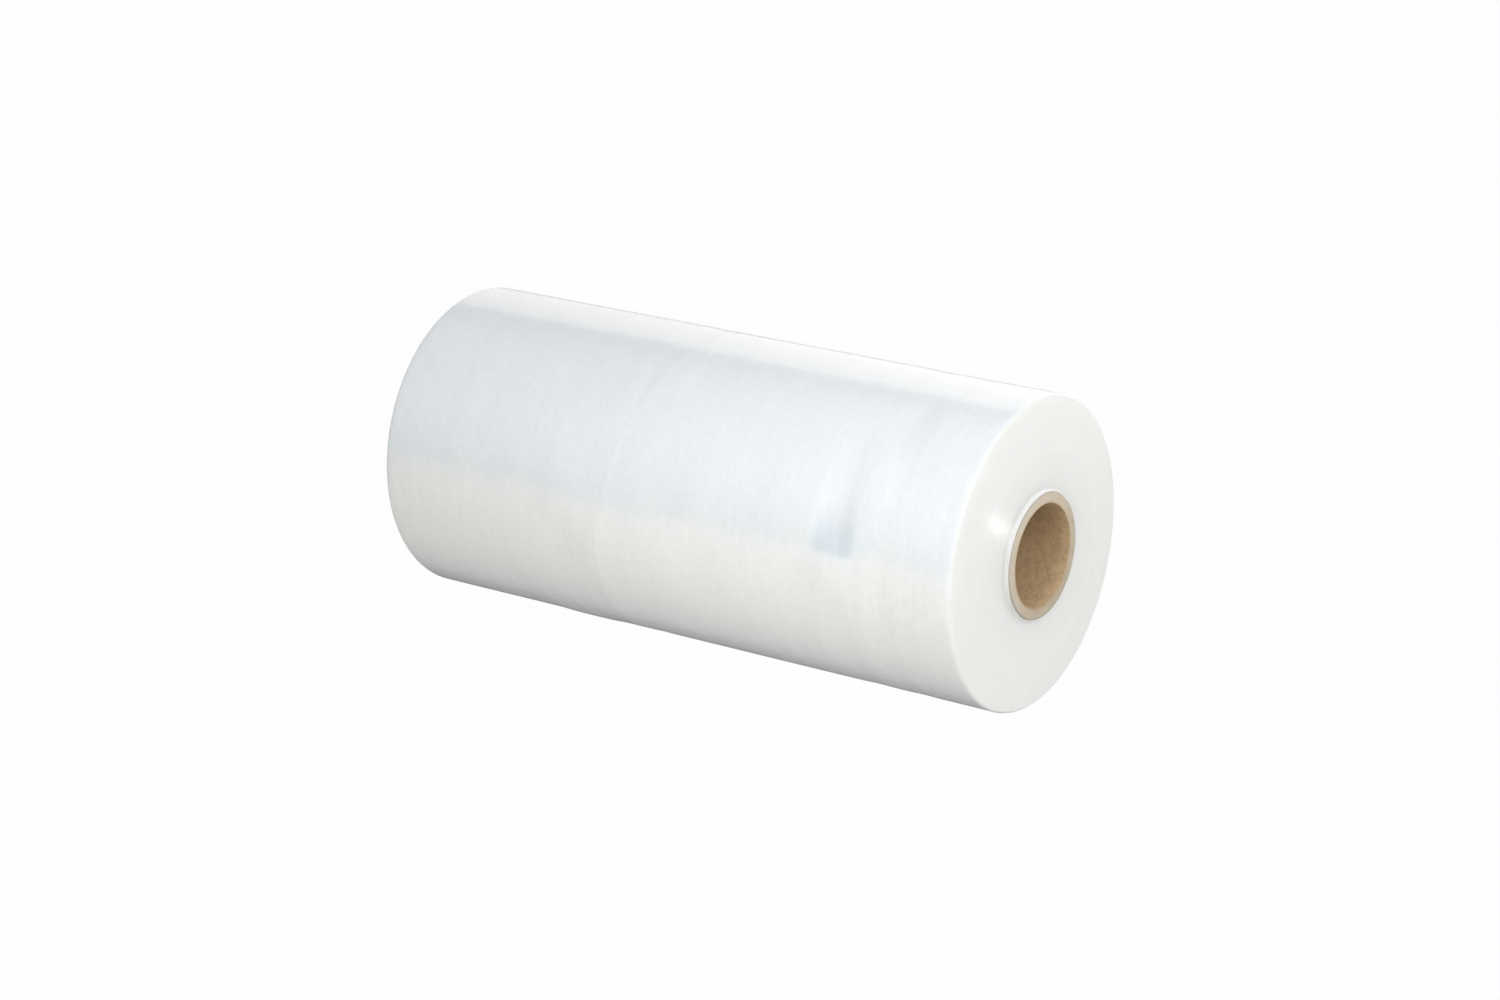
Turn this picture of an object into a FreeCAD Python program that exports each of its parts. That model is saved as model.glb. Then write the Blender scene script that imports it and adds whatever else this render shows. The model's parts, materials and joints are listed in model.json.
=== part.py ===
"""A roll of machine stretch film wound on a spiral cardboard core.

The roll stands on the lower end of its core, with its axis along +Z. The origin is the middle of its base.
Lengths are in millimetres and angles in degrees.
"""
import FreeCAD, Part

import os
import Sketcher

# Every size that can be set by itself, written once.
SIZES = {
    # Cardboard core, cut to stand out a little over the film's collars
    "core_stands_out": 0.5,
    "core_bore_dia": 76.2,
    "core_wall": 8.0,
    "core_edge_break": 0.5,
    # Wound film: the crown is how far the turns beside the core stand out over those at the rim, and the
    # collar is the thin sleeve of first turns that stands out over the crown, against the core
    "film_dia": 230.0,
    "film_width": 497.0,
    "rim_round": 2.5,
    "rim_chords": 3,
    "crown_height": 4.0,
    "collar_height": 2.0,
    "collar_width": 1.2,
    "collar_bevel": 0.4,
    "collar_foot": 0.8,
    # Rings on both wound ends, where one group of turns stands a step out over the next
    "ring_count": 8,
    "ring_step": 0.25,
    # Bands of slacker turns round the outside, each measured from the upper rim to the middle of the band
    "high_band_below_rim": 60.0,
    "high_band_width": 26.0,
    "mid_band_below_rim": 98.0,
    "mid_band_width": 30.0,
    "low_band_below_rim": 288.0,
    "low_band_width": 22.0,
    "band_depth": 0.25,
    "band_slope": 6.0,
    # Free end of the film, laid down on the last turn
    "tail_angle": 60.0,
    "tail_step": 0.3,
    "tail_taper": 30.0,
    "tail_root": 2.0,
    "tail_inset": 1.0,
    # Flat that the roll's weight presses into the side it lies on
    "flat_depth": 0.44,
}

SHEET = "sizes"


def size(name):
    """The way an expression names one of the sizes."""
    return f"<<{SHEET}>>.{name}"


CORE_RADIUS = f"({size('core_bore_dia')} / 2 + {size('core_wall')})"
FILM_RADIUS = f"({size('film_dia')} / 2)"
RIM_RADIUS = f"({FILM_RADIUS} - {size('rim_round')})"
COLLAR_RADIUS = f"({CORE_RADIUS} + {size('collar_width')})"
# Half lengths, each from the middle of the roll out to one of its levels.
RIM_HALF = f"({size('film_width')} / 2)"
CROWN_HALF = f"({RIM_HALF} + {size('crown_height')})"
COLLAR_HALF = f"({CROWN_HALF} + {size('collar_height')})"
CORE_HALF = f"({COLLAR_HALF} + {size('core_stands_out')})"
# The roll stands on its core, so its middle is half the core's length up.
MIDDLE = CORE_HALF
CORE_LENGTH = f"2 * {CORE_HALF}"


def make_sheet(doc):
    """Put every size in the sheet, one row each, with its name as the alias."""
    sheet = doc.addObject("Spreadsheet::Sheet", SHEET)
    for row, (name, value) in enumerate(SIZES.items(), start=1):
        sheet.set(f"A{row}", name)
        sheet.set(f"B{row}", str(value))
        sheet.setAlias(f"B{row}", name)
    doc.recompute()


def make_body(doc, label):
    """A body whose label is the sub-part's name, placed at the roll's own origin."""
    body = doc.addObject("PartDesign::Body", label)
    body.Label = label
    body.Placement = FreeCAD.Placement()
    return body


def sketch_on(body, name, role):
    """A sketch on one of the body's own origin planes."""
    plane = next(item for item in body.Origin.OriginFeatures if item.Role == role)
    sketch = body.newObject("Sketcher::SketchObject", name)
    sketch.AttachmentSupport = [(plane, "")]
    sketch.MapMode = "FlatFace"
    return sketch


def spot(sketch, across, up):
    """The point of a sketch that two expressions give."""
    return FreeCAD.Vector(sketch.evalExpression(across), sketch.evalExpression(up), 0)


def bind(sketch, kind, geometry, name, expression):
    """Add a size constraint and tie its value to an expression."""
    value = sketch.evalExpression(expression)
    index = sketch.addConstraint(Sketcher.Constraint(kind, *geometry, value))
    sketch.renameConstraint(index, name)
    sketch.setExpression(f"Constraints.{name}", expression)


def place(sketch, geometry, point, across, up, name):
    """Hold one point of a sketch at its distances from the origin."""
    bind(sketch, "DistanceX", (-1, 1, geometry, point), f"{name}_across", across)
    bind(sketch, "DistanceY", (-1, 1, geometry, point), f"{name}_up", up)


def add_circle(sketch, across, up, radius, name):
    """A circle held by its centre and radius."""
    circle = Part.Circle(spot(sketch, across, up), FreeCAD.Vector(0, 0, 1), sketch.evalExpression(radius))
    index = sketch.addGeometry(circle, False)
    place(sketch, index, 3, across, up, name)
    bind(sketch, "Radius", (index,), f"{name}_radius", radius)


def add_outline(sketch, corners, arcs=None):
    """A closed outline through named corners, straight except where arcs gives a point to bend through.

    Returns the index of the side that starts at each corner.
    """
    first = sketch.GeometryCount
    points = [spot(sketch, across, up) for _, across, up in corners]
    ends = points[1:] + points[:1]
    sides = {}
    for (name, _, _), start, end in zip(corners, points, ends):
        if arcs and name in arcs:
            side = Part.Arc(start, arcs[name], end)
        else:
            side = Part.LineSegment(start, end)
        sides[name] = sketch.addGeometry(side, False)
    for index, (name, across, up) in enumerate(corners):
        following = (index + 1) % len(corners)
        place(sketch, sides[name], 1, across, up, name)
        sketch.addConstraint(
            Sketcher.Constraint("Coincident", sides[name], 2, first + following, 1)
        )
    return sides


def revolve(body, sketch, kind, name):
    """Turn a sketch a full turn about the roll's axis, to add to the body or to cut it."""
    feature = body.newObject(f"PartDesign::{kind}", name)
    feature.Profile = sketch
    feature.ReferenceAxis = (sketch, ["V_Axis"])
    feature.Angle = 360
    sketch.Visibility = False


def make_core(doc):
    """The cardboard tube, with both cut edges of each end broken."""
    body = make_body(doc, "core_tube")
    section = sketch_on(body, "core_section", "XY_Plane")
    add_circle(section, "0", "0", f"{size('core_bore_dia')} / 2", "bore")
    add_circle(section, "0", "0", CORE_RADIUS, "outside")
    tube = body.newObject("PartDesign::Pad", "tube")
    tube.Profile = section
    tube.setExpression("Length", CORE_LENGTH)
    section.Visibility = False
    doc.recompute()

    edge_break = body.newObject("PartDesign::Chamfer", "edge_break")
    edge_break.Base = (tube, [
        f"Edge{index}" for index, edge in enumerate(tube.Shape.Edges, start=1)
        if isinstance(edge.Curve, Part.Circle)
    ])
    edge_break.setExpression("Size", size("core_edge_break"))
    return body


def end_corners(side, sign):
    """Corners of one end of the film's half section, from the bore out to the rim."""
    bevel = size("collar_bevel")
    foot = size("collar_foot")
    corners = [
        ("bore", CORE_RADIUS, COLLAR_HALF),
        ("collar_top", f"{COLLAR_RADIUS} - {bevel}", COLLAR_HALF),
        ("collar_bevel", COLLAR_RADIUS, f"{COLLAR_HALF} - {bevel}"),
        ("collar_foot", COLLAR_RADIUS, f"{CROWN_HALF} + {foot}"),
        ("crown", f"{COLLAR_RADIUS} + {foot}", CROWN_HALF),
    ]
    # The crown falls slowly beside the core and faster towards the rim.
    reach = f"({RIM_RADIUS} - {COLLAR_RADIUS} - {foot})"
    for ring in range(1, int(SIZES["ring_count"])):
        share = f"({ring} / {size('ring_count')})"
        across = f"{COLLAR_RADIUS} + {foot} + {reach} * {share}"
        face = f"{CROWN_HALF} - {size('crown_height')} * {share} ^ 2"
        corners.append((f"ring_{ring}_edge", across, face))
        corners.append((f"ring_{ring}_step", across, f"{face} - {size('ring_step')}"))
    # The rim is rounded over in a few short cones.
    for chord in range(int(SIZES["rim_chords"]) + 1):
        turn = f"(90 * {chord} / {size('rim_chords')})"
        across = f"{RIM_RADIUS} + {size('rim_round')} * sin({turn})"
        out = f"{RIM_HALF} - {size('rim_round')} * (1 - cos({turn}))"
        corners.append((f"rim_{chord}", across, out))
    return [(f"{side}_{name}", across, f"{MIDDLE} {sign} ({out})") for name, across, out in corners]


def wind_film(body):
    """The wound film turned from its half section: bore, collars, ringed and crowned ends, and outside."""
    section = sketch_on(body, "film_section", "XZ_Plane")
    add_outline(section, end_corners("low", "-") + end_corners("high", "+")[::-1])
    revolve(body, section, "Revolution", "wound_film")


def cut_bands(body):
    """Sink the shallow bands where slacker turns lie a little lower, round the outside."""
    sketch = sketch_on(body, "band_section", "XZ_Plane")
    floor = f"{FILM_RADIUS} - {size('band_depth')}"
    clear = f"{FILM_RADIUS} + {size('band_depth')}"
    for band in ("high_band", "mid_band", "low_band"):
        middle = f"({MIDDLE} + {RIM_HALF} - {size(band + '_below_rim')})"
        half_floor = f"({size(band + '_width')} / 2 - {size('band_slope')})"
        # The slopes run on past the outside at the same angle.
        half_clear = f"({size(band + '_width')} / 2 + {size('band_slope')})"
        add_outline(sketch, [
            (f"{band}_floor_low", floor, f"{middle} - {half_floor}"),
            (f"{band}_clear_low", clear, f"{middle} - {half_clear}"),
            (f"{band}_clear_high", clear, f"{middle} + {half_clear}"),
            (f"{band}_floor_high", floor, f"{middle} + {half_floor}"),
        ])
    revolve(body, sketch, "Groove", "bands")


def lay_tail(body):
    """The free end of the film: a step across the roll that thins out to nothing behind it."""
    sketch = sketch_on(body, "tail_section", "XY_Plane")
    half_length = f"({RIM_HALF} - {size('rim_round')} - {size('tail_inset')})"
    sketch.setExpression("AttachmentOffset.Base.z", f"{MIDDLE} - {half_length}")
    step_radius = f"({FILM_RADIUS} + {size('tail_step')})"
    root_radius = f"({FILM_RADIUS} - {size('tail_root')})"
    taper = size("tail_taper")
    edge_angle = size("tail_angle")
    merge_angle = f"({edge_angle} + {taper})"
    # The top is an arc that meets the outside of the roll smoothly where the tail has thinned out, so its
    # centre is off the axis, on the side away from that line.
    fall = f"({FILM_RADIUS} - {step_radius} * cos({taper}))"
    off_axis = f"(({step_radius} ^ 2 - {FILM_RADIUS} ^ 2) / (2 * {fall}))"
    top_radius = f"({FILM_RADIUS} + {off_axis})"
    half_angle = f"({edge_angle} + {taper} / 2)"
    rise = f"({top_radius} - {off_axis} * cos({taper} / 2))"
    sides = add_outline(sketch, [
        ("edge_root", *polar(root_radius, edge_angle)),
        ("edge_top", *polar(step_radius, edge_angle)),
        ("merge", *polar(FILM_RADIUS, merge_angle)),
        ("merge_root", *polar(root_radius, merge_angle)),
    ], {"edge_top": spot(sketch, *polar(rise, half_angle))})
    bind(sketch, "Radius", (sides["edge_top"],), "top_radius", top_radius)

    tail = body.newObject("PartDesign::Pad", "tail")
    tail.Profile = sketch
    tail.setExpression("Length", f"2 * {half_length}")
    sketch.Visibility = False


def polar(radius, angle):
    """A point's two distances from the origin, from its radius and angle."""
    return f"{radius} * cos({angle})", f"{radius} * sin({angle})"


def press_flat(body):
    """The flat along the side that the roll lies on, from end to end."""
    sketch = sketch_on(body, "flat_section", "XY_Plane")
    face = f"{FILM_RADIUS} - {size('flat_depth')}"
    clear = f"{FILM_RADIUS} + {size('flat_depth')}"
    side = f"{FILM_RADIUS} / 2"
    add_outline(sketch, [
        ("face_right", face, f"-{side}"),
        ("clear_right", clear, f"-{side}"),
        ("clear_left", clear, side),
        ("face_left", face, side),
    ])
    flat = body.newObject("PartDesign::Pocket", "flat")
    flat.Profile = sketch
    flat.Reversed = True
    flat.setExpression("Length", CORE_LENGTH)
    sketch.Visibility = False


def make_film(doc):
    """The wound film, turned from its half section and then marked as the real roll is."""
    body = make_body(doc, "film_roll")
    wind_film(body)
    cut_bands(body)
    lay_tail(body)
    doc.recompute()
    before = body.Shape.Volume
    press_flat(body)
    doc.recompute()
    if not body.Shape.Volume < before:
        raise RuntimeError("the flat cuts nothing")
    return body


def check(doc, bodies):
    """Stop if any object failed or any sub-part isn't one valid solid."""
    for item in doc.Objects:
        failed = {"Invalid", "Error"} & set(item.State)
        if failed:
            raise RuntimeError(f"{item.Label} is {', '.join(sorted(failed))}")
    for body in bodies:
        shape = body.Shape
        if shape.isNull() or not shape.isValid():
            raise RuntimeError(f"{body.Label} has no valid shape")
        if len(shape.Solids) != 1:
            raise RuntimeError(f"{body.Label} has {len(shape.Solids)} solids")


def main():
    """Build the roll and write one file for each sub-part."""
    os.makedirs("parts", exist_ok=True)
    doc = FreeCAD.newDocument("stretch_wrap_roll")
    make_sheet(doc)
    bodies = [make_core(doc), make_film(doc)]
    doc.recompute()
    check(doc, bodies)
    for body in bodies:
        body.Shape.exportStep(f"parts/{body.Label}.step")
        box = body.Shape.BoundBox
        print(body.Label, f"volume {body.Shape.Volume:.0f}", f"from {box.ZMin:.2f} to {box.ZMax:.2f}")


main()
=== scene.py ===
import json
import math
import random

import bmesh
import bpy
from bpy.props import FloatProperty, FloatVectorProperty, IntProperty, PointerProperty
from bpy.types import Operator, Panel, PropertyGroup
from mathutils import Matrix, Vector, noise


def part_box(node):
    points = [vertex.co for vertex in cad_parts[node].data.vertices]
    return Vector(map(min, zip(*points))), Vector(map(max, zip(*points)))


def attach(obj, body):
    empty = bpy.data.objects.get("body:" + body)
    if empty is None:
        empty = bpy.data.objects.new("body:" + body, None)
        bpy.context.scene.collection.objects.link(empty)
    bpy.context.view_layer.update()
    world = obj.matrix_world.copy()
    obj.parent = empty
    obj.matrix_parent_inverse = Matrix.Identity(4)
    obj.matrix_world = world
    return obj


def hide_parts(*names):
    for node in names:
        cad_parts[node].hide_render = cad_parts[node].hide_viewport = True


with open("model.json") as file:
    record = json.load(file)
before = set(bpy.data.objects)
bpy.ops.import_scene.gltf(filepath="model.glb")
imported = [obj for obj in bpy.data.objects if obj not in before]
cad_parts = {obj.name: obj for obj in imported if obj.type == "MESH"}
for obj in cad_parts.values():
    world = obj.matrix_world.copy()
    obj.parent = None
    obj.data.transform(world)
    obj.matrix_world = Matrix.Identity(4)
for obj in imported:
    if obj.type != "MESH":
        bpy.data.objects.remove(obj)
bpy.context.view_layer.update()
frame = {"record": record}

bl_info = {
    "name": "Stretch wrap roll",
    "version": (1, 0, 0),
    "blender": (4, 5, 0),
    "location": "3D View > Sidebar > Stretch wrap",
    "description": "Dresses a roll of stretch film on a cardboard core, and sets it in a white studio",
    "category": "Object",
}

MM = 0.001
FILM_LOW, FILM_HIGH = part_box("film_roll")
CORE_LOW, CORE_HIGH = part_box("core_tube")
MIDDLE = (CORE_LOW[2] + CORE_HIGH[2]) / 2
MOUNTS = {mount["name"]: mount for mount in frame["record"]["mounts"]}
BORE_RADIUS = MOUNTS["core_bore"]["dims"]["r_mm"] * MM


class FilmSizes(PropertyGroup):
    """Sizes of the wound film."""

    radius: FloatProperty(
        name="Radius", description="Outside radius of the film", default=FILM_HIGH[1], unit="LENGTH")
    flat_face: FloatProperty(
        name="Flat", description="How far the flat is from the axis", default=FILM_HIGH[0], unit="LENGTH")
    collar_half: FloatProperty(
        name="Collar half length", description="From the middle to the top of the collar",
        default=(FILM_HIGH[2] - FILM_LOW[2]) / 2, unit="LENGTH")
    collar_height: FloatProperty(
        name="Collar height", description="How far the first turns stand out over the crown",
        default=2.0 * MM, unit="LENGTH")
    collar_width: FloatProperty(
        name="Collar width", description="Thickness of the collar of first turns",
        default=1.2 * MM, unit="LENGTH")
    crown_height: FloatProperty(
        name="Crown height", description="How far the turns beside the core stand out over the rim",
        default=4.0 * MM, unit="LENGTH")
    moat_depth: FloatProperty(
        name="Moat depth", description="How far the turns beside the collar lie below the crown",
        default=0.6 * MM, unit="LENGTH")
    moat_spread: FloatProperty(
        name="Moat spread", description="How far out from the collar the moat fades",
        default=6.0 * MM, unit="LENGTH")
    rim_round: FloatProperty(
        name="Rim round", description="Radius of the rounded rim", default=2.5 * MM, unit="LENGTH")
    ring_count: IntProperty(
        name="Rings", description="Groups of turns that show on each end", default=8, min=1)
    ring_step: FloatProperty(
        name="Ring step", description="Step from one group of turns to the next",
        default=0.1 * MM, unit="LENGTH")
    band_depth: FloatProperty(
        name="Band depth", description="How far a slack band lies below the outside",
        default=0.25 * MM, unit="LENGTH")


class CoreSizes(PropertyGroup):
    """Sizes of the cardboard core."""

    bore_radius: FloatProperty(
        name="Bore radius", description="Radius of the bore", default=BORE_RADIUS, unit="LENGTH")
    outside_radius: FloatProperty(
        name="Outside radius", description="Radius of the outside", default=CORE_HIGH[1], unit="LENGTH")
    half_length: FloatProperty(
        name="Half length", description="Half the length of the core",
        default=(CORE_HIGH[2] - CORE_LOW[2]) / 2, unit="LENGTH")
    edge_break: FloatProperty(
        name="Edge break", description="Bevel of the cut edges", default=0.5 * MM, unit="LENGTH")
    ply_count: IntProperty(
        name="Plies", description="Layers of board in the wall", default=13, min=2)
    seam_lead: FloatProperty(
        name="Seam lead", description="Length along the core of one turn of the ply seam",
        default=150.0 * MM, unit="LENGTH")


class FinishColours(PropertyGroup):
    """Colours of the film and the board."""

    film: FloatVectorProperty(
        name="Film", description="Milky colour of the wound film", subtype="COLOR", size=3,
        default=(0.865, 0.868, 0.862), min=0.0, max=1.0)
    film_cool: FloatVectorProperty(
        name="Film, cool", description="Colour of the cooler clouds in the film", subtype="COLOR", size=3,
        default=(0.80, 0.825, 0.84), min=0.0, max=1.0)
    film_slack: FloatVectorProperty(
        name="Film, slack", description="Colour of the patch with air under it", subtype="COLOR", size=3,
        default=(0.70, 0.735, 0.765), min=0.0, max=1.0)
    film_end: FloatVectorProperty(
        name="Film ends", description="Colour of the wound ends", subtype="COLOR", size=3,
        default=(0.87, 0.875, 0.848), min=0.0, max=1.0)
    # the collar's colour is paler than the wound ends as painted light on the first turns
    film_collar: FloatVectorProperty(
        name="Film collar", description="Colour of the first turns beside the core", subtype="COLOR", size=3,
        default=(0.93, 0.925, 0.895), min=0.0, max=1.0)
    kraft: FloatVectorProperty(
        name="Kraft", description="Brown board inside the bore", subtype="COLOR", size=3,
        default=(0.565, 0.407, 0.243), min=0.0, max=1.0)
    cut_board: FloatVectorProperty(
        name="Cut board", description="Board where it is cut at the ends", subtype="COLOR", size=3,
        default=(0.70, 0.60, 0.47), min=0.0, max=1.0)


class StudioSettings(PropertyGroup):
    """The camera and the floor."""

    lens: FloatProperty(
        name="Lens", description="Focal length on a 36 mm sensor", default=90.64, min=1.0)
    floor_size: FloatProperty(
        name="Floor", description="Side of the square floor", default=12.0, unit="LENGTH")


# Points on a wound end between the collar and the rim, and how far a single turn stands out or in
FACE_POINTS = 44
TURN_UNEVEN = 0.022 * MM

# The roundings on top of the collar and at its foot, and the side where the collar stands highest,
# in degrees from +X towards +Y, with its share of the height there and how much that varies
COLLAR_LIP = 0.4 * MM
COLLAR_FOOT = 0.8 * MM
COLLAR_HIGH_SIDE = -130.0
COLLAR_SHARE = 0.62
COLLAR_SWING = 0.38
COLLAR_WAVER = 0.10

# How far a wound end sways out and in, group by group
END_SWAY = 0.10 * MM

# Degrees between two columns of points round the film, and the height between two rows on its side
SPIN_STEP = 0.9
SIDE_STEP = 5 * MM

# Bands of slacker turns: how far the middle of each is below the upper rim, and its width
BANDS = (
    (60.0 * MM, 26.0 * MM),
    (98.0 * MM, 30.0 * MM),
    (288.0 * MM, 22.0 * MM),
)
BAND_SLOPE = 11.0 * MM

# The unevenness of the outside, broad and from gauge to gauge, and how near the rims it fades
BROAD_SWELL = 0.16 * MM
GAUGE_SWELL = 0.035 * MM
SWELL_FADE = 12 * MM

# Where the outer turns sag between tighter ones: the height below the upper rim, the half width,
# the direction round the roll in degrees from +X towards +Y, the half spread in degrees, the tilt in degrees
SAGS = (
    (96.0 * MM, 17.0 * MM, -84.0, 15.0, 4.0),
    (45.0 * MM, 30.0 * MM, -84.0, 16.0, -1.2),
    (276.0 * MM, 60.0 * MM, -80.0, 18.0, 2.6),
    (330.0 * MM, 22.0 * MM, -70.0, 14.0, -1.5),
    (180.0 * MM, 26.0 * MM, -78.0, 14.0, 1.4),
    (70.0 * MM, 20.0 * MM, -122.0, 16.0, 2.2),
    (150.0 * MM, 34.0 * MM, 60.0, 16.0, 3.0),
    (350.0 * MM, 30.0 * MM, 10.0, 18.0, -3.0),
)

# The free end of the film: its edge and how far it draws the mesh along, in degrees from +X towards +Y,
# how far round it thins out, its height above the last turn, and how near the rims it fades
TAIL_EDGE = 60.0
TAIL_REACH = 9.0
TAIL_TAPER = 30.0
TAIL_HEIGHT = 0.25 * MM
TAIL_FADE = 4.5 * MM
# Half the width of its step in degrees, and the waves of its edge: length, seed and height
TAIL_STEP = 0.05
TAIL_WAVES = (
    (0.055, 3.1, 3.2 * MM),
    (0.012, 7.7, 0.7 * MM),
)

# Steps round the core, the height between two rows in its bore, and how ragged its cut ends are
CORE_STEPS = 160
BORE_STEP = 12 * MM
RAGGED = 0.05 * MM
RAGGED_GRAIN = 2.2 * MM


def add_piece(name, bm, materials):
    """A finished piece from a bmesh, smooth shaded, at the origin."""
    bmesh.ops.recalc_face_normals(bm, faces=bm.faces)
    mesh = bpy.data.meshes.new(name)
    bm.to_mesh(mesh)
    bm.free()
    for polygon in mesh.polygons:
        polygon.use_smooth = True
    for material in materials:
        mesh.materials.append(material)
    piece = bpy.data.objects.new(name, mesh)
    bpy.context.scene.collection.objects.link(piece)
    return piece


def both_ends(end):
    """The outline of one end at the top of the roll, and mirrored at its foot."""
    upper = [(radius, MIDDLE + out) for radius, out in end]
    lower = [(radius, MIDDLE - out) for radius, out in reversed(end)]
    return upper, lower


def turn_outline(outline, steps):
    """A closed outline of (radius, height) points turned a full turn about the roll's axis."""
    bm = bmesh.new()
    verts = [bm.verts.new((radius, 0.0, height)) for radius, height in outline]
    edges = [bm.edges.new(pair) for pair in zip(verts, verts[1:] + verts[:1])]
    bmesh.ops.spin(
        bm, geom=verts + edges, cent=(0, 0, 0), axis=(0, 0, 1), angle=math.tau, steps=steps,
        use_merge=True)
    return bm


def arc_points(centre, radius, start, end, count):
    """Points along an arc in the outline's plane, from one angle to another in degrees."""
    points = []
    for step in range(count + 1):
        angle = math.radians(start + (end - start) * step / count)
        points.append((centre[0] + radius * math.cos(angle), centre[1] + radius * math.sin(angle)))
    return points


def film_end_outline(sizes, core_radius):
    """One end of the film from the bore out to the rim: (radius, distance from the middle)."""
    draw = random.Random(7)
    collar_radius = core_radius + sizes.collar_width
    crown_half = sizes.collar_half - sizes.collar_height
    rim_half = crown_half - sizes.crown_height
    rim_radius = sizes.radius - sizes.rim_round
    lip_centre = (collar_radius - COLLAR_LIP, sizes.collar_half - COLLAR_LIP)
    start = collar_radius + COLLAR_FOOT
    foot_centre = (start, crown_half - sizes.moat_depth + COLLAR_FOOT)
    points = [(core_radius, sizes.collar_half)]
    points += arc_points(lip_centre, COLLAR_LIP, 90, 0, 4)
    points += arc_points(foot_centre, COLLAR_FOOT, 180, 270, 5)
    for step in range(1, FACE_POINTS):
        share = step / FACE_POINTS
        group = share * sizes.ring_count
        saw = (group - math.floor(group)) * sizes.ring_step - sizes.ring_step
        turn = draw.uniform(-1.0, 1.0) * TURN_UNEVEN
        moat = sizes.moat_depth * math.exp(-(share * (rim_radius - start)) / sizes.moat_spread)
        out = crown_half - sizes.crown_height * share ** 2 - moat + saw * (1 - share) + turn
        points.append((start + (rim_radius - start) * share, out))
    points += arc_points((rim_radius, rim_half - sizes.rim_round), sizes.rim_round, 90, 0, 8)
    return points


def side_heights(top, spacing):
    """Even heights between the two rims, measured from the middle, without the rims themselves."""
    count = round(2 * top / spacing)
    return [-top + 2 * top * step / count for step in range(1, count)]


def band_drop(below_rim, depth):
    """How far the outside lies low at a distance below the upper rim."""
    drop = 0.0
    for middle, width in BANDS:
        inside = (width / 2 - abs(below_rim - middle)) / BAND_SLOPE
        share = min(max(inside, 0.0), 1.0)
        drop = max(drop, depth * share * share * (3 - 2 * share))
    return drop


def sag_lift(below_rim, degrees, radius):
    """How far the outside moves out or in where the outer turns sag and tilt."""
    lift = 0.0
    for middle, half_width, direction, spread, tilt in SAGS:
        along = (below_rim - middle) / half_width
        if abs(along) >= 1.0:
            continue
        turn = (degrees - direction + 180.0) % 360.0 - 180.0
        across = turn / spread
        swell = across * math.exp(-across * across)
        fade = (1.0 - along ** 4) ** 2
        lift += radius * math.radians(tilt) * math.radians(spread) * swell * fade
    return lift


def tail_turn(turn, height, fade, radius):
    """Draw the columns of points near the film's free end up to its wavering edge."""
    if abs(turn) >= TAIL_REACH:
        return turn
    waver = 0.0
    for length, seed, rise in TAIL_WAVES:
        waver += noise.noise(Vector((height / length, seed, 0.0))) * rise
    close = math.copysign(TAIL_STEP, turn) if abs(turn) < SPIN_STEP else turn
    close += math.degrees(waver / radius) * (1 - abs(turn) / TAIL_REACH)
    return turn + (close - turn) * fade


def tail_lift(turn):
    """How far the free end lies above the last turn, at an angle past its edge."""
    if not 0.0 < turn < TAIL_TAPER:
        return 0.0
    return TAIL_HEIGHT * (1 - turn / TAIL_TAPER) ** 2


def shape_side(vert, radius, angle, height, rim_plane, sizes):
    """Move a point of the outside, and tell whether it is on the step of the free end."""
    turn = math.degrees(angle) - TAIL_EDGE
    fade = min(max((rim_plane - abs(height)) / TAIL_FADE, 0.0), 1.0)
    on_step = abs(turn) < SPIN_STEP and fade == 1.0
    lap = tail_lift(turn) * fade
    turn = tail_turn(turn, height, fade, sizes.radius)
    angle = math.radians(TAIL_EDGE + turn)
    outward = Vector((math.cos(angle), math.sin(angle), 0.0))
    drop = band_drop(rim_plane - height + sizes.rim_round, sizes.band_depth)
    broad = noise.noise(Vector((outward.x * 2.2, outward.y * 2.2, height / 0.11)))
    gauge = noise.noise(Vector((outward.x * 0.8, outward.y * 0.8, height / 0.013 + 40)))
    edge_fade = min((rim_plane - abs(height)) / SWELL_FADE, 1.0)
    sag = sag_lift(rim_plane - height, math.degrees(angle), radius)
    lift = (broad * BROAD_SWELL + gauge * GAUGE_SWELL + sag) * edge_fade - drop + lap
    vert.co.xy = (outward * (radius + lift)).xy
    return on_step


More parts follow.
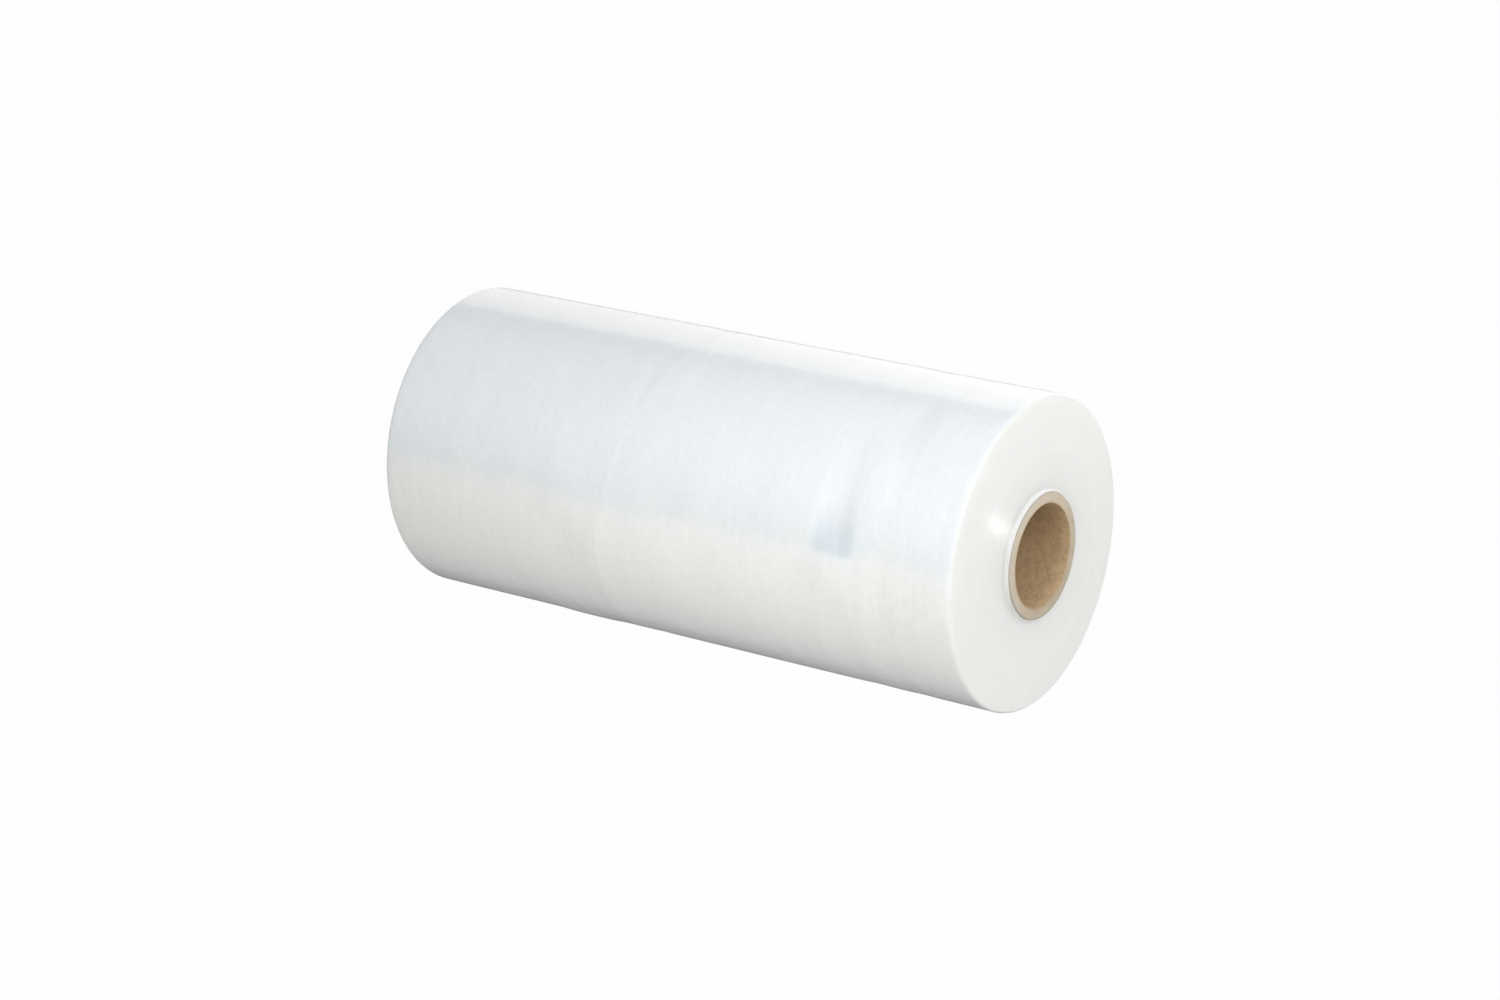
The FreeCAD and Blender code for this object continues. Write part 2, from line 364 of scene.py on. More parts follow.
def shape_film(bm, sizes):
    """Give the turned film the unevenness of real turns, its slack bands, its free end and its flat."""
    crown_half = sizes.collar_half - sizes.collar_height
    rim_plane = crown_half - sizes.crown_height - sizes.rim_round
    collar_edge = CORE_HIGH[1] + sizes.collar_width + 0.9 * MM
    face_edge = CORE_HIGH[1] + 2 * MM
    near = 1e-6
    tail_step = set()
    for vert in bm.verts:
        radius = math.hypot(vert.co.x, vert.co.y)
        angle = math.atan2(vert.co.y, vert.co.x)
        height = vert.co.z - MIDDLE
        outward = Vector((math.cos(angle), math.sin(angle), 0.0))
        if abs(height) <= rim_plane + near and radius > sizes.radius - near:
            if shape_side(vert, radius, angle, height, rim_plane, sizes):
                tail_step.add(vert)
        elif abs(height) > crown_half and radius < collar_edge:
            stand = COLLAR_SHARE + COLLAR_SWING * math.cos(angle - math.radians(COLLAR_HIGH_SIDE))
            stand += COLLAR_WAVER * noise.noise(Vector((outward.x * 3.0, outward.y * 3.0, 5.0)))
            over = (abs(height) - crown_half) * min(stand, 1.0)
            vert.co.z = MIDDLE + math.copysign(crown_half + over, height)
        elif abs(height) > rim_plane and radius > face_edge:
            side = 1 if height > 0 else -1
            share = (radius - CORE_HIGH[1]) / (sizes.radius - CORE_HIGH[1])
            sway = noise.noise(Vector((outward.x * 1.3, outward.y * 1.3, radius / 0.011 + side * 9)))
            vert.co.z += side * sway * END_SWAY * math.sin(math.pi * min(share, 1.0))
        vert.co.x = min(vert.co.x, sizes.flat_face)
    for edge in bm.edges:
        first, second = edge.verts
        if first in tail_step and second in tail_step and abs(first.co.z - second.co.z) > MM:
            edge.smooth = False


class ROLL_OT_wind_film(Operator):
    """Make the wound film: crowned ends, collars, rims, bands, free end and flat"""

    bl_idname = "roll.wind_film"
    bl_label = "Wind film"

    def execute(self, context):
        sizes = context.scene.film_sizes
        core_radius = context.scene.core_sizes.outside_radius
        end = film_end_outline(sizes, core_radius)
        rim_plane = end[-1][1]
        upper, lower = both_ends(end)
        side = [(sizes.radius, MIDDLE + out) for out in reversed(side_heights(rim_plane, SIDE_STEP))]
        bm = turn_outline(upper + side + lower, round(360 / SPIN_STEP))
        shape_film(bm, sizes)
        end_edge = sizes.radius - 0.25 * sizes.rim_round
        collar_edge = core_radius + sizes.collar_width + 1.0 * MM
        for face in bm.faces:
            face.normal_update()
            centre = face.calc_center_median()
            radius = math.hypot(centre.x, centre.y)
            face.material_index = 0
            if abs(centre.z - MIDDLE) > rim_plane and radius < end_edge:
                face.material_index = 1
            if radius < collar_edge:
                face.material_index = 2
        finishes = [film_side_material(), film_end_material(), film_collar_material()]
        piece = add_piece("wound_film", bm, finishes)
        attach(piece, "root")
        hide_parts("film_roll")
        return {"FINISHED"}


def core_end_outline(sizes):
    """One cut end of the core from the bore out: (radius, distance from the middle)."""
    draw = random.Random(21)
    ply = (sizes.outside_radius - sizes.bore_radius) / sizes.ply_count
    inner_edge = sizes.bore_radius + sizes.edge_break
    outer_edge = sizes.outside_radius - sizes.edge_break
    edge_low = sizes.half_length - sizes.edge_break
    edge_high = sizes.half_length - 0.3 * sizes.edge_break
    points = [(sizes.bore_radius, edge_low), (sizes.bore_radius + 0.35 * sizes.edge_break, edge_high)]
    for index in range(sizes.ply_count):
        low = draw.uniform(0.0, 0.10) * MM
        inner = sizes.bore_radius + ply * index
        for share, dip in ((0.12, 0.05 * MM), (0.5, 0.0), (0.88, 0.05 * MM)):
            radius = inner + ply * share
            if inner_edge <= radius <= outer_edge:
                points.append((radius, sizes.half_length - low - dip))
    points += [(sizes.outside_radius - 0.35 * sizes.edge_break, edge_high), (sizes.outside_radius, edge_low)]
    return points


class ROLL_OT_make_core(Operator):
    """Make the cardboard core: its plies at the cut ends and its bore"""

    bl_idname = "roll.make_core"
    bl_label = "Make core"

    def execute(self, context):
        sizes = context.scene.core_sizes
        end = core_end_outline(sizes)
        upper, lower = both_ends(end)
        bore = [(sizes.bore_radius, MIDDLE + out) for out in side_heights(end[0][1], BORE_STEP)]
        bm = turn_outline(upper + lower + bore, CORE_STEPS)
        for vert in bm.verts:
            if abs(vert.co.z - MIDDLE) < sizes.half_length - 0.9 * sizes.edge_break:
                continue
            ragged = abs(noise.noise(vert.co / RAGGED_GRAIN) * RAGGED)
            vert.co.z -= math.copysign(ragged, vert.co.z - MIDDLE)
        for face in bm.faces:
            centre = face.calc_center_median()
            is_bore = math.hypot(centre.x, centre.y) < sizes.bore_radius + 0.1 * MM
            face.material_index = 1 if is_bore else 0
        piece = add_piece("cardboard_core", bm, [cut_board_material(), bore_board_material()])
        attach(piece, "root")
        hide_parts("core_tube")
        return {"FINISHED"}


class NodeTree:
    """A short way to add nodes to a material or a world and join them."""

    def __init__(self, owner):
        owner.use_nodes = True
        self.tree = owner.node_tree
        self.tree.nodes.clear()

    def add(self, kind, settings=None, inputs=None):
        """A node with its settings, and its inputs set to values or joined to other sockets."""
        node = self.tree.nodes.new(kind)
        for name, value in (settings or {}).items():
            setattr(node, name, value)
        for name, value in (inputs or {}).items():
            socket = node.inputs[name]
            if isinstance(value, bpy.types.NodeSocket):
                self.tree.links.new(value, socket)
            else:
                socket.default_value = value
        return node

    def math(self, operation, first, second=0.0, third=0.0):
        """One Math node's result."""
        node = self.add("ShaderNodeMath", {"operation": operation}, {0: first, 1: second, 2: third})
        return node.outputs[0]

    def scale(self, colour, factor):
        """A colour times a number."""
        node = self.add("ShaderNodeVectorMath", {"operation": "SCALE"}, {0: colour, "Scale": factor})
        return node.outputs[0]

    def clamp(self, value, limits):
        """A value kept between a low and a high limit."""
        return self.math("MINIMUM", self.math("MAXIMUM", value, limits[0]), limits[1])

    def mix(self, factor, first, second, blend="MIX"):
        """Two colours mixed."""
        node = self.add(
            "ShaderNodeMix", {"data_type": "RGBA", "blend_type": blend},
            {"Factor": factor, 6: first, 7: second})
        return node.outputs[2]

    def darken(self, base, factor, share=1.0):
        """A colour mixed with black by a share of a factor."""
        if share != 1.0:
            factor = self.math("MULTIPLY", factor, share)
        return self.mix(factor, base, grey(0.0))

    def noise(self, place, scale, detail=2.0, roughness=0.5, distortion=0.0):
        """Noise at a place, as a number from 0 to 1."""
        node = self.add("ShaderNodeTexNoise", {}, {
            "Vector": place, "Scale": scale, "Detail": detail, "Roughness": roughness,
            "Distortion": distortion})
        return node.outputs["Fac"]

    def ramp(self, factor, stops):
        """A colour ramp from (position, colour) stops."""
        node = self.add("ShaderNodeValToRGB", {}, {"Fac": factor})
        elements = node.color_ramp.elements
        while len(elements) > 1:
            elements.remove(elements[-1])
        elements[0].position = stops[0][0]
        elements[0].color = stops[0][1]
        for position, colour in stops[1:]:
            elements.new(position).color = colour
        return node.outputs["Color"]

    def slope(self, factor, low, high, first=0.0, last=1.0):
        """A grey that goes from a first to a last value between two positions."""
        return self.ramp(factor, [(low, grey(first)), (high, grey(last))])

    def place(self, scale=(1.0, 1.0, 1.0)):
        """Where a point is on the piece, in metres times a scale."""
        coordinates = self.add("ShaderNodeTexCoord").outputs["Object"]
        mapping = self.add("ShaderNodeMapping", {}, {"Vector": coordinates, "Scale": scale})
        return mapping.outputs["Vector"]

    def parts(self, vector):
        """The three parts of a vector."""
        outputs = self.add("ShaderNodeSeparateXYZ", {}, {"Vector": vector}).outputs
        return outputs["X"], outputs["Y"], outputs["Z"]

    def from_axis(self, x, y):
        """How far a point is from the roll's axis."""
        squares = self.math("ADD", self.math("POWER", x, 2.0), self.math("POWER", y, 2.0))
        return self.math("SQRT", squares)

    def bumps(self, *layers):
        """Bumps on top of each other, from pairs of a height from 0 to 1 and a distance in metres."""
        normal = None
        for height, distance in layers:
            inputs = {"Height": height, "Distance": distance, "Strength": 1.0}
            if normal is not None:
                inputs["Normal"] = normal
            normal = self.add("ShaderNodeBump", {}, inputs).outputs["Normal"]
        return normal

    def surface(self, inputs):
        """End a material's tree in a Principled shader with these inputs."""
        shader = self.add("ShaderNodeBsdfPrincipled", {}, inputs)
        self.add("ShaderNodeOutputMaterial", {}, {"Surface": shader.outputs[0]})


def rgba(colour):
    """A colour with full alpha."""
    return (*colour, 1.0)


def grey(value):
    """An opaque grey."""
    return (value, value, value, 1.0)


# The faint edge of a deeper layer: its height on the axis, its slant along X and Y, and how wide it shows
EDGE_LINE_HEIGHT = 0.215
EDGE_LINE_SLANT = (-0.1645, 0.0681)
EDGE_LINE_WIDTH = 1.6 * MM

# A slack patch with air under it, where the film looks thinner and bluer: its height, half width and direction,
# the cosines from that direction where it ends and is full, how ragged that side is,
# how it fades along X, and how strong it is
SLACK_HEIGHT = 0.4065
SLACK_HALF_WIDTH = 19.5 * MM
SLACK_TOWARDS = (-0.0349, -0.9994)
SLACK_SIDE = (0.9828, 0.9893)
SLACK_RAGGED = 0.006
SLACK_FADE = (38.0, 0.78)
SLACK_SHARE = 0.82


def slack_patch(tree, x, y, z, soft):
    """Where the film is slack, from 0 to 1."""
    facing = tree.math("MULTIPLY", x, SLACK_TOWARDS[0])
    facing = tree.math("MULTIPLY_ADD", y, SLACK_TOWARDS[1], facing)
    facing = tree.math("DIVIDE", facing, tree.from_axis(x, y))
    facing = tree.math("MULTIPLY_ADD", soft, SLACK_RAGGED, facing)
    within = tree.slope(facing, *SLACK_SIDE)
    fade = tree.slope(tree.math("MULTIPLY_ADD", x, *SLACK_FADE), 0.0, 1.0)
    off_band = tree.math("ABSOLUTE", tree.math("SUBTRACT", z, SLACK_HEIGHT))
    on_band = tree.slope(tree.math("DIVIDE", off_band, SLACK_HALF_WIDTH), 0.66, 1.04, 1.0, 0.0)
    return tree.math("MULTIPLY", tree.math("MULTIPLY", within, fade), on_band)


def film_side_material():
    """Glossy milky film: streaks round the roll, fine crinkles and a clear top layer."""
    colours = bpy.context.scene.finish_colours
    material = bpy.data.materials.new("film side")
    tree = NodeTree(material)
    x, y, z = tree.parts(tree.place())
    streaks = tree.noise(tree.place((26.0, 26.0, 480.0)), 1.0, 2.0, 0.5)
    mottle = tree.noise(tree.place((1.0, 1.0, 1.6)), 150.0, 4.0, 0.65, 0.6)
    gauge = tree.noise(tree.place((2.0, 2.0, 75.0)), 1.0, 3.0, 0.6)
    soft = tree.noise(tree.place((9.0, 9.0, 30.0)), 1.0, 3.0, 0.55, 0.5)
    crinkle = tree.noise(tree.place((150.0, 150.0, 330.0)), 1.0, 3.0, 0.6, 0.8)
    lumps = tree.noise(tree.place((1.0, 1.0, 1.4)), 30.0, 2.0, 0.5)

    # the edge of a film layer a few turns down shows as a faint slanted line round the roll
    slant = tree.math("MULTIPLY_ADD", x, EDGE_LINE_SLANT[0], EDGE_LINE_HEIGHT)
    slant = tree.math("MULTIPLY_ADD", y, EDGE_LINE_SLANT[1], slant)
    past = tree.math("SUBTRACT", z, slant)
    layer = tree.slope(tree.math("MULTIPLY_ADD", past, 1 / EDGE_LINE_WIDTH, 0.5), 0.0, 1.0)
    off_line = tree.math("ABSOLUTE", tree.math("DIVIDE", past, EDGE_LINE_WIDTH))
    line = tree.slope(off_line, 0.0, 1.0, 1.0, 0.0)

    clouds = tree.math("MULTIPLY", tree.slope(soft, 0.38, 0.70), 0.45)
    base = tree.mix(clouds, rgba(colours.film), rgba(colours.film_cool))
    base = tree.darken(base, tree.math("MULTIPLY_ADD", layer, -0.025, 0.025))
    base = tree.darken(base, line, 0.035)
    slack = tree.math("MULTIPLY", slack_patch(tree, x, y, z, soft), SLACK_SHARE)
    base = tree.mix(slack, base, rgba(colours.film_slack))
    base = tree.darken(base, tree.slope(streaks, 0.30, 0.72), 0.018)
    base = tree.darken(base, tree.slope(mottle, 0.35, 0.68), 0.042)
    bump = tree.bumps(
        (lumps, 0.30 * MM), (mottle, 0.17 * MM), (gauge, 0.25 * MM), (layer, 0.04 * MM),
        (streaks, 0.06 * MM), (crinkle, 0.022 * MM))
    tree.surface({
        "Base Color": base, "Roughness": 0.42, "IOR": 1.5, "Specular IOR Level": 0.4,
        "Subsurface Weight": 0.35, "Subsurface Radius": (1.0, 1.0, 1.0), "Subsurface Scale": 0.006,
        "Coat Weight": 1.0, "Coat Roughness": 0.03, "Coat IOR": 2.0,
        "Normal": bump, "Coat Normal": bump})
    return material


def film_end_material():
    """The wound ends: the stacked edges of the turns, smooth along them and fine across them."""
    colours = bpy.context.scene.finish_colours
    material = bpy.data.materials.new("film end")
    tree = NodeTree(material)
    x, y, _ = tree.parts(tree.place())
    radius = tree.from_axis(x, y)

    def strokes_round(along, across, detail=2.0, roughness=0.5):
        place = tree.add("ShaderNodeCombineXYZ", {}, {
            "X": tree.math("MULTIPLY", x, along), "Y": tree.math("MULTIPLY", y, along),
            "Z": tree.math("MULTIPLY", radius, across)}).outputs[0]
        return tree.noise(place, 1.0, detail, roughness)

    turns = strokes_round(5.0, 1600.0, 3.0, 0.65)
    shade = strokes_round(40.0, 150.0)
    strokes = strokes_round(85.0, 320.0)
    out = tree.math("MULTIPLY", radius, 10.0)
    near_core = tree.slope(out, 0.60, 0.74, 1.0, 0.0)
    dull = tree.mix(near_core, grey(0.24), tree.slope(strokes, 0.42, 0.60, 0.22, 0.27))
    darker = tree.mix(0.06, rgba(colours.film_end), grey(0.0))
    base = tree.mix(shade, rgba(colours.film_end), darker)
    # painted shade: the wound end is darkened in a ring beside the core, where the moat lies in shade
    painted_core_shade = tree.ramp(out, [(0.48, grey(0.10)), (0.57, grey(0.045)), (0.82, grey(0.0))])
    base = tree.darken(base, painted_core_shade)
    bump = tree.bumps(
        (turns, 0.08 * MM), (shade, 0.18 * MM),
        (tree.math("MULTIPLY", strokes, near_core), 0.03 * MM))
    round_axis = tree.add("ShaderNodeTangent", {"direction_type": "RADIAL", "axis": "Z"}).outputs[0]
    tree.surface({
        "Base Color": base, "Roughness": dull, "IOR": 1.5, "Specular IOR Level": 0.8,
        "Anisotropic": 0.99, "Anisotropic Rotation": 0.25,
        "Subsurface Weight": 0.6, "Subsurface Radius": (1.0, 1.0, 0.9), "Subsurface Scale": 0.010,
        "Normal": bump, "Tangent": round_axis})
    return material


def film_collar_material():
    """The first turns, which stand up beside the core, in a colour paler than the wound ends as painted light
    on them.
    """
    colours = bpy.context.scene.finish_colours
    material = bpy.data.materials.new("film collar")
    tree = NodeTree(material)
    edges = tree.noise(tree.place((120.0, 120.0, 900.0)), 1.0, 3.0, 0.6)
    # the paler collar colour is painted light: it stands in for the light that catches the first turns
    darker = tree.mix(0.10, rgba(colours.film_collar), grey(0.0))
    base = tree.mix(tree.slope(edges, 0.35, 0.75), rgba(colours.film_collar), darker)
    tree.surface({
        "Base Color": base, "Roughness": 0.5, "IOR": 1.5, "Specular IOR Level": 0.3,
        "Subsurface Weight": 0.5, "Subsurface Radius": (1.0, 1.0, 0.9), "Subsurface Scale": 0.004,
        "Normal": tree.bumps((edges, 0.05 * MM))})
    return material


# The board where it is cut, across the wall from the bore out, and the brown of the painted shade on one side
# of the cut ends
CUT_INSIDE = (0.58, 0.47, 0.34)
CUT_OUTER = (0.68, 0.60, 0.49)
CUT_OUTSIDE = (0.56, 0.50, 0.42)
PAINTED_SHADE_BROWN = (0.24, 0.17, 0.10)
# The dark of the seam between two turns of the inner ply
SEAM = (0.12, 0.08, 0.05)


def cut_board_material():
    """The cut ends of the plies, greyer outside and paler inside."""
    colours = bpy.context.scene.finish_colours
    sizes = bpy.context.scene.core_sizes
    material = bpy.data.materials.new("cut board")
    tree = NodeTree(material)
    x, y, _ = tree.parts(tree.place())
    wall = sizes.outside_radius - sizes.bore_radius
    into_wall = tree.math("SUBTRACT", tree.from_axis(x, y), sizes.bore_radius)
    share = tree.math("DIVIDE", into_wall, wall)
    plies = tree.math("SINE", tree.math("MULTIPLY", share, math.tau * sizes.ply_count))
    fibre = tree.noise(tree.place(), 900.0, 5.0, 0.7)
    tone = tree.ramp(share, [
        (0.0, rgba(CUT_INSIDE)), (0.30, rgba(colours.cut_board)),
        (0.8, rgba(CUT_OUTER)), (1.0, rgba(CUT_OUTSIDE))])
    lines = tree.math("MULTIPLY_ADD", plies, 0.05, 0.95)
    lines = tree.add("ShaderNodeCombineColor", {}, {0: lines, 1: lines, 2: lines}).outputs[0]
    base = tree.mix(1.0, tone, lines, "MULTIPLY")
    spots = tree.slope(fibre, 0.35, 0.62, 0.72, 1.0)
    base = tree.mix(0.45, base, tree.mix(1.0, base, spots, "MULTIPLY"))

    # painted shade: one side of the cut ends is darker and browner, towards +X and +Y, standing in for the
    # shade on that side of the ring
    lean = tree.math("MULTIPLY_ADD", y, 7.5, tree.math("MULTIPLY", x, 5.0))
    shade_breakup = tree.noise(tree.place(), 70.0, 3.0, 0.6)
    lean = tree.math("MULTIPLY_ADD", shade_breakup, 0.8, lean)
    painted_shade = tree.math("MULTIPLY", tree.slope(lean, 0.05, 0.80), 0.38)
    base = tree.mix(painted_shade, base, rgba(PAINTED_SHADE_BROWN))
    tree.surface({
        "Base Color": base, "Roughness": 0.92, "IOR": 1.45, "Specular IOR Level": 0.2,
        "Normal": tree.bumps((fibre, 0.12 * MM))})
    return material


def bore_board_material():
    """Mottled kraft board inside the bore, with the spiral seam of the inner ply."""
    kraft = bpy.context.scene.finish_colours.kraft
    sizes = bpy.context.scene.core_sizes
    material = bpy.data.materials.new("bore board")
    tree = NodeTree(material)
    x, y, z = tree.parts(tree.place())
    turns = tree.math("DIVIDE", tree.math("ARCTAN2", y, x), math.tau)
    rise = tree.math("DIVIDE", z, sizes.seam_lead)
    spiral = tree.math("FRACT", tree.math("ADD", turns, rise))
    off_seam = tree.math("ABSOLUTE", tree.math("SUBTRACT", spiral, 0.5))
    seam = tree.slope(off_seam, 0.0, 0.008, 1.0, 0.0)
    mottle = tree.noise(tree.place((1.0, 1.0, 1.5)), 200.0, 5.0, 0.62, 0.2)
    fibre = tree.noise(tree.place((1.0, 1.0, 0.35)), 1100.0, 4.0, 0.7)
    tone = tree.ramp(mottle, [
        (position, rgba([share * part for part in kraft]))
        for position, share in ((0.32, 0.84), (0.52, 1.0), (0.72, 1.16))])
    flecks = tree.slope(fibre, 0.30, 0.60, 0.70, 1.0)
    base = tree.mix(0.5, tone, tree.mix(1.0, tone, flecks, "MULTIPLY"))
    base = tree.mix(tree.math("MULTIPLY", seam, 0.12), base, rgba(SEAM))
    tree.surface({
        "Base Color": base, "Roughness": 0.85, "IOR": 1.45, "Specular IOR Level": 0.25,
        "Normal": tree.bumps((mottle, 0.12 * MM), (fibre, 0.05 * MM))})
    return material


# What the gloss of the film shows, by the direction round the roll in degrees from +X towards +Y:
# a white sweep, then a cool window side that ends at two clean edges, and a warm side that grows dim
SWEEP_ROUND = (
    (-180.0, (0.93, 1.08, 1.19)),
    (-171.0, (0.98, 1.11, 1.24)),
    (-151.0, (0.98, 1.11, 1.25)),
    (-131.0, (1.00, 1.12, 1.26)),
    (-111.0, (1.00, 1.10, 1.26)),
    (-91.0, (0.80, 0.95, 1.10)),
    (-75.0, (0.53, 0.79, 0.86)),
    (-67.6, (0.53, 0.79, 0.86)),
    (-66.8, (1.12, 1.06, 0.92)),
    (-55.0, (1.08, 1.05, 0.90)),
    (-39.0, (1.06, 1.06, 0.85)),
    (-19.0, (0.93, 0.95, 0.75)),
    (1.0, (0.79, 0.82, 0.66)),
    (21.0, (0.59, 0.59, 0.58)),
    (36.7, (0.42, 0.42, 0.43)),
    (48.7, (0.25, 0.25, 0.27)),
    (76.0, (0.22, 0.22, 0.24)),
    (83.0, (0.52, 0.52, 0.54)),
    (90.0, (0.58, 0.58, 0.60)),
    (96.0, (0.68, 0.68, 0.69)),
    (100.0, (1.14, 1.14, 1.13)),
    (125.0, (1.38, 1.38, 1.37)),
    (149.5, (1.47, 1.47, 1.46)),
    (153.5, (0.76, 0.88, 0.96)),
    (163.0, (0.76, 0.90, 0.99)),
    (173.0, (0.88, 1.03, 1.13)),
    (180.0, (0.93, 1.08, 1.19)),
)
# The light from above, round the roll in the same way
SKY_ROUND = (
    (-180.0, (0.72, 0.72, 0.73)),
    (-130.0, (0.72, 0.72, 0.73)),
    (-90.0, (0.70, 0.70, 0.69)),
    (-30.0, (0.59, 0.59, 0.58)),
    (30.0, (0.49, 0.49, 0.49)),
    (80.0, (0.62, 0.62, 0.62)),
    (130.0, (0.68, 0.68, 0.69)),
    (180.0, (0.72, 0.72, 0.73)),
)
BRIGHTEST = 1.6
# The sweep is a little brighter towards the level of the eye: the middle of what the film shows, and the rise
SWEEP_MIDDLE = -0.535
SWEEP_RISE = 1.5
SWEEP_LIMITS = (0.6, 1.35)
# The sky is a little dimmer higher up, and takes over from the sweep above this height
SKY_RISE = (-0.6, 1.36)
SKY_LIMITS = (1.0, 1.3)
SKY_FROM = 0.12

# The floor's grey to the surfaces, and how much of its white the eye sees
FLOOR_GREY = 0.50
FLOOR_WHITE = 0.98

# Soft lamps: name, place, aim, size in metres and power in watts
SOFT_LAMPS = (
    ("side_lamp", (0.06, -0.58, 0.39), (0.0, 0.0, 0.37), 0.4, 0.74),
    ("top_lamp", (-0.57, -0.60, 1.5), (0.0, 0.0, 0.45), 0.6, 6.7),
    ("right_lamp", (0.2, 1.0, 0.95), (0.0, 0.0, 0.5), 0.5, 1.9),
)
# Spots that show only in the gloss of the wound end: name, place, aim, cone in degrees, size and power
GLOSS_SPOTS = (
    ("core_spot", (-0.14, 0.3, 1.68), (-0.016, -0.055, 0.507), 3.0, 0.02, 44.0),
    ("rim_spot", (-0.48, 0.10, 1.6), (-0.055, -0.080, 0.505), 4.6, 0.24, 40.0),
)

# Where the photograph was taken from, and which ways are right and up in it
CAMERA_PLACE = (-0.26843, -2.34490, 1.75656)
CAMERA_RIGHT = (-0.1511, 0.5441, 0.8253)
CAMERA_UP = (-0.9836, 0.0, -0.1801)
SENSOR_WIDTH = 36.0


def studio_world():
    """White to the eye, a soft sky to the surfaces, and below it the sweep that the gloss shows."""
    world = bpy.data.worlds.new("studio")
    bpy.context.scene.world = world
    tree = NodeTree(world)
    x, y, z = tree.parts(tree.add("ShaderNodeTexCoord").outputs["Generated"])
    share = tree.math("MULTIPLY_ADD", tree.math("ARCTAN2", y, x), 1 / math.tau, 0.5)
    sweep, sky = [
        tree.ramp(share, [
            ((degrees + 180.0) / 360.0, rgba([part / BRIGHTEST for part in colour]))
            for degrees, colour in stops])
        for stops in (SWEEP_ROUND, SKY_ROUND)]
    rise = tree.math("MULTIPLY_ADD", z, SWEEP_RISE, 1.0 - SWEEP_MIDDLE * SWEEP_RISE)
    sweep = tree.scale(sweep, tree.clamp(rise, SWEEP_LIMITS))
    sky = tree.scale(sky, tree.clamp(tree.math("MULTIPLY_ADD", z, *SKY_RISE), SKY_LIMITS))
    around = tree.mix(tree.slope(z, 0.0, SKY_FROM), sweep, sky)
    studio = tree.add("ShaderNodeBackground", {}, {"Color": around, "Strength": BRIGHTEST})
    white = tree.add("ShaderNodeBackground", {}, {"Color": grey(1.0), "Strength": 1.0})
    seen = tree.add("ShaderNodeLightPath").outputs["Is Camera Ray"]
    both = tree.add("ShaderNodeMixShader", {}, {0: seen, 1: studio.outputs[0], 2: white.outputs[0]})
    tree.add("ShaderNodeOutputWorld", {}, {"Surface": both.outputs[0]})


def floor_material():
    """A pale floor that is white to the eye but keeps a little of the roll's shadow."""
    material = bpy.data.materials.new("studio floor")
    tree = NodeTree(material)
    pale = tree.add("ShaderNodeBsdfDiffuse", {}, {"Color": grey(FLOOR_GREY)})
    white = tree.add("ShaderNodeEmission", {}, {"Color": grey(1.0), "Strength": 1.0})
    seen = tree.add("ShaderNodeLightPath").outputs["Is Camera Ray"]
    share = tree.math("MULTIPLY", seen, FLOOR_WHITE)
    both = tree.add("ShaderNodeMixShader", {}, {0: share, 1: pale.outputs[0], 2: white.outputs[0]})
    tree.add("ShaderNodeOutputMaterial", {}, {"Surface": both.outputs[0]})
    return material


def hang_lamp(data, place, aim, power):
    """A lamp of this kind at a place, turned to what it lights."""
    data.energy = power
    lamp = bpy.data.objects.new(data.name, data)
    lamp.location = place
    lamp.rotation_euler = (Vector(aim) - Vector(place)).to_track_quat("-Z", "Y").to_euler()
    bpy.context.scene.collection.objects.link(lamp)
    return lamp


def add_soft_lamp(name, place, aim, size, power):
    """A round soft lamp that lights the roll without a spot in its gloss."""
    data = bpy.data.lights.new(name, "AREA")
    data.shape = "DISK"
    data.size = size
    hang_lamp(data, place, aim, power).visible_glossy = False


def add_gloss_spot(name, place, aim, cone, size, power):
    """A narrow soft-edged spot that shows only in the gloss of the wound end."""
    data = bpy.data.lights.new(name, "SPOT")
    data.spot_size = math.radians(cone)
    data.spot_blend = 1.0
    data.shadow_soft_size = size / 2
    hang_lamp(data, place, aim, power).visible_diffuse = False


def add_photo_camera(lens):
    """The camera that took the photograph."""
    data = bpy.data.cameras.new("photo_camera")
    data.sensor_width = SENSOR_WIDTH
    data.lens = lens
    camera = bpy.data.objects.new("photo_camera", data)
    bpy.context.scene.collection.objects.link(camera)
    right = Vector(CAMERA_RIGHT)
    up = Vector(CAMERA_UP)
    turn = Matrix((right, up, right.cross(up))).transposed()
    camera.matrix_world = Matrix.Translation(CAMERA_PLACE) @ turn.to_4x4()
    bpy.context.scene.camera = camera


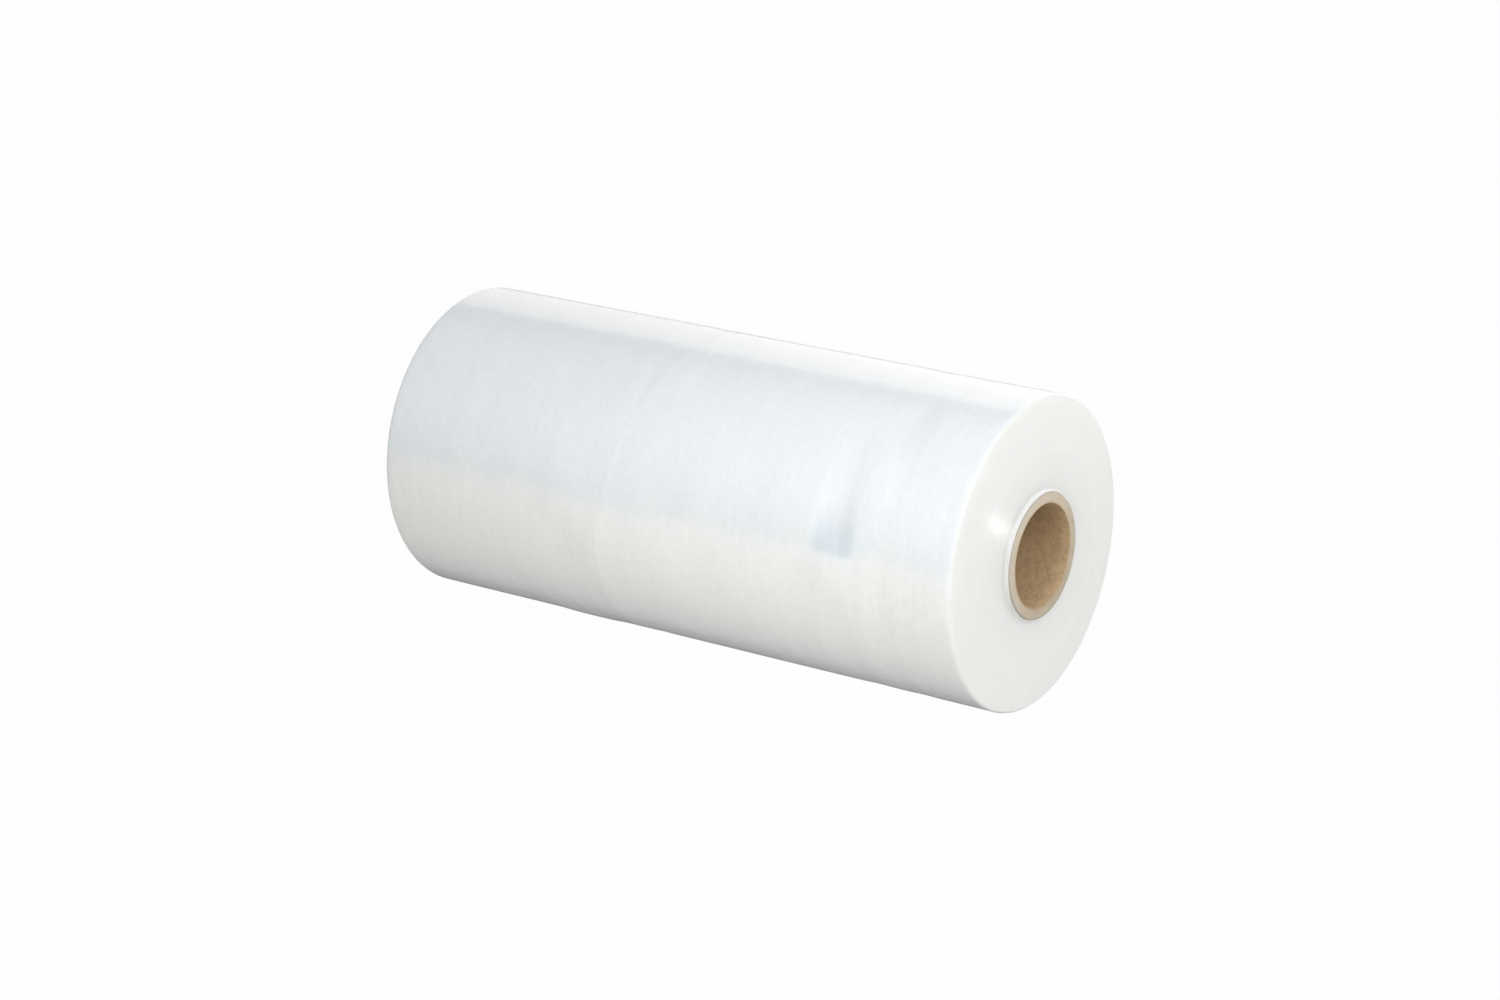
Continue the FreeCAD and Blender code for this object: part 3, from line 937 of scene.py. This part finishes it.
class ROLL_OT_set_stage(Operator):
    """Lay the floor, light the roll and place the camera where the photograph was taken from"""

    bl_idname = "roll.set_stage"
    bl_label = "Set stage"

    def execute(self, context):
        settings = context.scene.studio_settings
        bm = bmesh.new()
        bmesh.ops.create_grid(bm, x_segments=1, y_segments=1, size=settings.floor_size / 2)
        floor = add_piece("studio_floor", bm, [floor_material()])
        floor.visible_glossy = False
        studio_world()
        for lamp in SOFT_LAMPS:
            add_soft_lamp(*lamp)
        for spot in GLOSS_SPOTS:
            add_gloss_spot(*spot)
        add_photo_camera(settings.lens)
        context.scene.view_settings.view_transform = "Standard"
        return {"FINISHED"}


class ROLL_PT_panel(Panel):
    """The roll's steps and sizes in the sidebar"""

    bl_idname = "ROLL_PT_panel"
    bl_label = "Stretch wrap roll"
    bl_space_type = "VIEW_3D"
    bl_region_type = "UI"
    bl_category = "Stretch wrap"

    def draw(self, context):
        for step in STEPS:
            self.layout.operator(step.bl_idname)
        for group in GROUPS:
            box = self.layout.box()
            settings = getattr(context.scene, group)
            for name in settings.bl_rna.properties.keys():
                if name not in ("rna_type", "name"):
                    box.prop(settings, name)


STEPS = (ROLL_OT_make_core, ROLL_OT_wind_film, ROLL_OT_set_stage)
GROUPS = {
    "film_sizes": FilmSizes,
    "core_sizes": CoreSizes,
    "finish_colours": FinishColours,
    "studio_settings": StudioSettings,
}


def register():
    for group, kind in GROUPS.items():
        bpy.utils.register_class(kind)
        setattr(bpy.types.Scene, group, PointerProperty(type=kind))
    for step in STEPS:
        bpy.utils.register_class(step)
    bpy.utils.register_class(ROLL_PT_panel)


def unregister():
    bpy.utils.unregister_class(ROLL_PT_panel)
    for step in reversed(STEPS):
        bpy.utils.unregister_class(step)
    for group, kind in reversed(GROUPS.items()):
        delattr(bpy.types.Scene, group)
        bpy.utils.unregister_class(kind)


def main():
    register()
    bpy.ops.roll.make_core()
    bpy.ops.roll.wind_film()
    bpy.ops.roll.set_stage()


if __name__ == "__main__":
    main()
